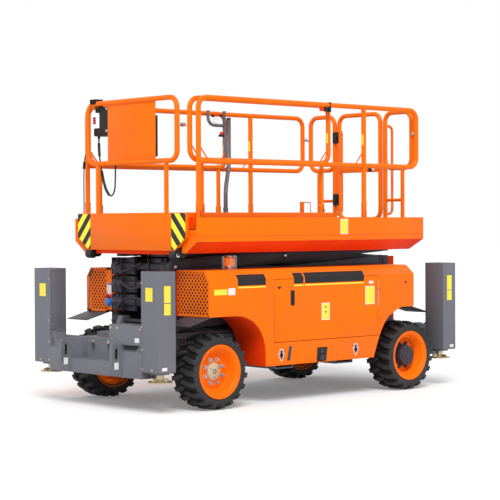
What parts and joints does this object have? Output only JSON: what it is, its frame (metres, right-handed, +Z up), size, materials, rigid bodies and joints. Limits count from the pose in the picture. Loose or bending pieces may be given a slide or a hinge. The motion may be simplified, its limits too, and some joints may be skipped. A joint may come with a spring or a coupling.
{
  "type": "rough-terrain scissor lift",
  "caption": "Self-propelled rough-terrain scissor lift with outriggers, folded scissor stack, guard-railed platform and sliding deck extension.",
  "frame": {"origin": "on the ground under the centre of the machine", "axes": "+X to the front, +Y to the machine's left, +Z up"},
  "size_m": [3.96, 1.79, 2.735],
  "materials": {
    "orange_paint": "gloss",
    "grey_paint": "satin",
    "charcoal_paint": "satin",
    "tyre_rubber": "matte",
    "zinc_plate": "satin",
    "steel": "satin",
    "black_plastic": "matte",
    "amber_lens": "gloss",
    "lever_paint": "satin"
  },
  "bodies": {
    "chassis": {"chassis_frame": "grey_paint", "front_bumper": "grey_paint", "rear_bumper": "grey_paint", "front_axle": "charcoal_paint", "rear_axle": "charcoal_paint", "front_left_outrigger": "grey_paint", "front_right_outrigger": "grey_paint", "rear_left_outrigger": "grey_paint", "rear_right_outrigger": "grey_paint", "left_side_cover": "orange_paint", "right_side_cover": "orange_paint", "left_front_grille": "orange_paint", "right_front_grille": "orange_paint", "engine_block": "charcoal_paint", "hydraulic_tank": "charcoal_paint", "warning_beacon": "amber_lens", "entry_ladder": "grey_paint"},
    "left_knuckle": {"left_steering_knuckle": "charcoal_paint"},
    "right_knuckle": {"right_steering_knuckle": "charcoal_paint"},
    "tie_rod": {"steering_tie_rod": "steel"},
    "front_left_wheel": {"front_left_tyre": "tyre_rubber", "front_left_rim": "orange_paint"},
    "front_left_foot": {"front_left_foot": "zinc_plate"},
    "front_right_wheel": {"front_right_tyre": "tyre_rubber", "front_right_rim": "orange_paint"},
    "front_right_foot": {"front_right_foot": "zinc_plate"},
    "rear_left_wheel": {"rear_left_tyre": "tyre_rubber", "rear_left_rim": "orange_paint"},
    "rear_left_foot": {"rear_left_foot": "zinc_plate"},
    "rear_right_wheel": {"rear_right_tyre": "tyre_rubber", "rear_right_rim": "orange_paint"},
    "rear_right_foot": {"rear_right_foot": "zinc_plate"},
    "left_door": {"left_service_door": "orange_paint"},
    "right_door": {"right_service_door": "orange_paint"},
    "outer_1": {"outer_arms_1": "charcoal_paint"},
    "inner_1": {"inner_arms_1": "charcoal_paint"},
    "outer_2": {"outer_arms_2": "charcoal_paint"},
    "inner_2": {"inner_arms_2": "charcoal_paint"},
    "outer_3": {"outer_arms_3": "charcoal_paint"},
    "inner_3": {"inner_arms_3": "charcoal_paint"},
    "outer_4": {"outer_arms_4": "charcoal_paint"},
    "inner_4": {"inner_arms_4": "charcoal_paint"},
    "lift_barrel": {"lift_cylinder_barrel": "charcoal_paint"},
    "lift_rod": {"lift_cylinder_rod": "steel"},
    "platform": {"main_deck": "orange_paint", "left_guardrail": "orange_paint", "right_guardrail": "orange_paint", "rear_left_guardrail": "orange_paint", "rear_right_guardrail": "orange_paint"},
    "gate": {"entry_gate": "orange_paint"},
    "extension": {"extension_deck": "orange_paint", "extension_guardrail": "orange_paint", "control_box": "black_plastic", "deck_lock_lever": "lever_paint", "control_lead": "black_plastic", "post_lead": "black_plastic", "junction_box": "black_plastic", "document_box": "black_plastic"}
  },
  "joints": [
    {"name": "scissor_lift", "type": "hinge", "parent": "chassis", "child": "outer_1", "pos_m": [1.30744, 0, 0.73], "axis": [0, 1, 0], "range_deg": [0, 55.5]},
    {"name": "inner_1_fold", "type": "hinge", "parent": "outer_1", "child": "inner_1", "pos_m": [-0.015, 0, 0.81225], "axis": [0, 1, 0], "range_deg": [-111.1, 0]},
    {"name": "outer_2_fold", "type": "hinge", "parent": "inner_1", "child": "outer_2", "pos_m": [1.30744, 0, 0.8945], "axis": [0, 1, 0], "range_deg": [0, 111.1]},
    {"name": "inner_2_fold", "type": "hinge", "parent": "outer_2", "child": "inner_2", "pos_m": [-0.015, 0, 0.97675], "axis": [0, 1, 0], "range_deg": [-111.1, 0]},
    {"name": "outer_3_fold", "type": "hinge", "parent": "inner_2", "child": "outer_3", "pos_m": [1.30744, 0, 1.059], "axis": [0, 1, 0], "range_deg": [0, 111.1]},
    {"name": "inner_3_fold", "type": "hinge", "parent": "outer_3", "child": "inner_3", "pos_m": [-0.015, 0, 1.14125], "axis": [0, 1, 0], "range_deg": [-111.1, 0]},
    {"name": "outer_4_fold", "type": "hinge", "parent": "inner_3", "child": "outer_4", "pos_m": [1.30744, 0, 1.2235], "axis": [0, 1, 0], "range_deg": [0, 111.1]},
    {"name": "inner_4_fold", "type": "hinge", "parent": "outer_4", "child": "inner_4", "pos_m": [-0.015, 0, 1.30575], "axis": [0, 1, 0], "range_deg": [-111.1, 0]},
    {"name": "platform_level", "type": "hinge", "parent": "inner_4", "child": "platform", "pos_m": [1.30744, 0, 1.388], "axis": [0, 1, 0], "range_deg": [0, 55.6]},
    {"name": "lift_barrel_swing", "type": "hinge", "parent": "inner_1", "child": "lift_barrel", "pos_m": [-1.22766, 0, 0.73683], "axis": [0, 1, 0], "range_deg": [-11.29, 0]},
    {"name": "lift_rod_extend", "type": "slide", "parent": "lift_barrel", "child": "lift_rod", "axis": [0.9914, 0, 0.1306], "range_m": [0, 2.0909]},
    {"name": "extension_slide", "type": "slide", "parent": "platform", "child": "extension", "axis": [1, 0, 0], "range_m": [0, 1.2]},
    {"name": "entry_gate_hinge", "type": "hinge", "parent": "platform", "child": "gate", "pos_m": [-1.434, -0.314, 2.1], "axis": [0, 0, 1], "range_deg": [-90, 0]},
    {"name": "left_door_hinge", "type": "hinge", "parent": "chassis", "child": "left_door", "pos_m": [-0.81, 0.8813, 0.8], "axis": [0, 0, 1], "range_deg": [0, 100]},
    {"name": "right_door_hinge", "type": "hinge", "parent": "chassis", "child": "right_door", "pos_m": [-0.81, -0.8813, 0.8], "axis": [0, 0, -1], "range_deg": [0, 100]},
    {"name": "steering", "type": "hinge", "parent": "chassis", "child": "left_knuckle", "pos_m": [1.1915, 0.52, 0.33], "axis": [0, 0, 1], "range_deg": [-30, 30]},
    {"name": "right_knuckle_turn", "type": "hinge", "parent": "chassis", "child": "right_knuckle", "pos_m": [1.1915, -0.52, 0.33], "axis": [0, 0, 1], "range_deg": [-30, 30]},
    {"name": "tie_rod_turn", "type": "hinge", "parent": "left_knuckle", "child": "tie_rod", "pos_m": [1.0315, 0.52, 0.33], "axis": [0, 0, 1], "range_deg": [-30, 30]},
    {"name": "front_left_wheel_spin", "type": "hinge", "parent": "left_knuckle", "child": "front_left_wheel", "pos_m": [1.1915, 0.74, 0.33], "axis": [0, 1, 0], "continuous": true},
    {"name": "front_right_wheel_spin", "type": "hinge", "parent": "right_knuckle", "child": "front_right_wheel", "pos_m": [1.1915, -0.74, 0.33], "axis": [0, 1, 0], "continuous": true},
    {"name": "rear_left_wheel_spin", "type": "hinge", "parent": "chassis", "child": "rear_left_wheel", "pos_m": [-1.2315, 0.74, 0.33], "axis": [0, 1, 0], "continuous": true},
    {"name": "rear_right_wheel_spin", "type": "hinge", "parent": "chassis", "child": "rear_right_wheel", "pos_m": [-1.2315, -0.74, 0.33], "axis": [0, 1, 0], "continuous": true},
    {"name": "front_left_foot_slide", "type": "slide", "parent": "chassis", "child": "front_left_foot", "axis": [0, 0, -1], "range_m": [0, 0.45]},
    {"name": "front_right_foot_slide", "type": "slide", "parent": "chassis", "child": "front_right_foot", "axis": [0, 0, -1], "range_m": [0, 0.45]},
    {"name": "rear_left_foot_slide", "type": "slide", "parent": "chassis", "child": "rear_left_foot", "axis": [0, 0, -1], "range_m": [0, 0.45]},
    {"name": "rear_right_foot_slide", "type": "slide", "parent": "chassis", "child": "rear_right_foot", "axis": [0, 0, -1], "range_m": [0, 0.45]}
  ],
  "couplings": [
    {"joint": "inner_1_fold", "follows": "scissor_lift", "ratio": -2},
    {"joint": "outer_2_fold", "follows": "scissor_lift", "ratio": 2},
    {"joint": "inner_2_fold", "follows": "scissor_lift", "ratio": -2},
    {"joint": "outer_3_fold", "follows": "scissor_lift", "ratio": 2},
    {"joint": "inner_3_fold", "follows": "scissor_lift", "ratio": -2},
    {"joint": "outer_4_fold", "follows": "scissor_lift", "ratio": 2},
    {"joint": "inner_4_fold", "follows": "scissor_lift", "ratio": -2},
    {"joint": "platform_level", "follows": "scissor_lift", "ratio": 1},
    {"joint": "lift_barrel_swing", "follows": "scissor_lift", "ratio": -0.20167},
    {"joint": "lift_rod_extend", "follows": "scissor_lift", "m_per_rad": 2.1565},
    {"joint": "right_knuckle_turn", "follows": "steering", "ratio": 1},
    {"joint": "tie_rod_turn", "follows": "steering", "ratio": -1}
  ]
}
